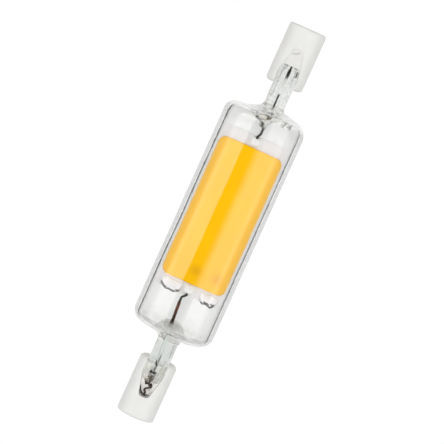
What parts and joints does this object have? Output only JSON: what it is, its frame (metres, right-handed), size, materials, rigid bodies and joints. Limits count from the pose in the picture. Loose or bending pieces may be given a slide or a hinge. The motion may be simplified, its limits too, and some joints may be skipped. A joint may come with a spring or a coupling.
{
  "type": "linear led bulb",
  "caption": "Sealed glass tube lamp with a slotted ceramic cap and recessed contact on each end, and a flat board with yellow phosphor on both faces inside.",
  "frame": {"origin": "middle of the lamp's box, on the axis of the glass tube", "axes": "X along the lamp, Y across the board, +Z out of the front phosphor strip"},
  "size_m": [0.0782, 0.0158, 0.0158],
  "materials": {
    "glass": "clear polished",
    "cap_ceramic": "matt white",
    "contact_metal": "nickel plated",
    "cement": "matt, slightly rough",
    "nickel_wire": "dull nickel",
    "seal_wire": "oxidised copper cladding",
    "solder": "satin",
    "silver_print": "matt",
    "tinned_clip": "tinned",
    "board_ceramic": "matt white",
    "phosphor": "smooth silicone",
    "led_chip": "polished",
    "circuit_black": "moulded"
  },
  "bodies": {
    "root": {"glass_envelope": "glass", "right_end_cap": "cap_ceramic", "left_end_cap": "cap_ceramic", "right_contact": "contact_metal", "left_contact": "contact_metal", "right_cement": "cement", "left_cement": "cement", "right_outer_lead": "nickel_wire", "left_outer_lead": "nickel_wire", "right_seal_wire": "seal_wire", "left_seal_wire": "seal_wire", "right_inner_lead": "nickel_wire", "left_inner_lead": "nickel_wire", "right_solder": "solder", "left_solder": "solder", "right_pad": "silver_print", "left_pad": "silver_print", "near_clip": "tinned_clip", "far_clip": "tinned_clip", "led_board": "board_ceramic", "front_phosphor": "phosphor", "back_phosphor": "phosphor", "front_led_chips": "led_chip", "back_led_chips": "led_chip", "rectifier_chip": "circuit_black", "driver_chip": "circuit_black"}
  },
  "joints": []
}
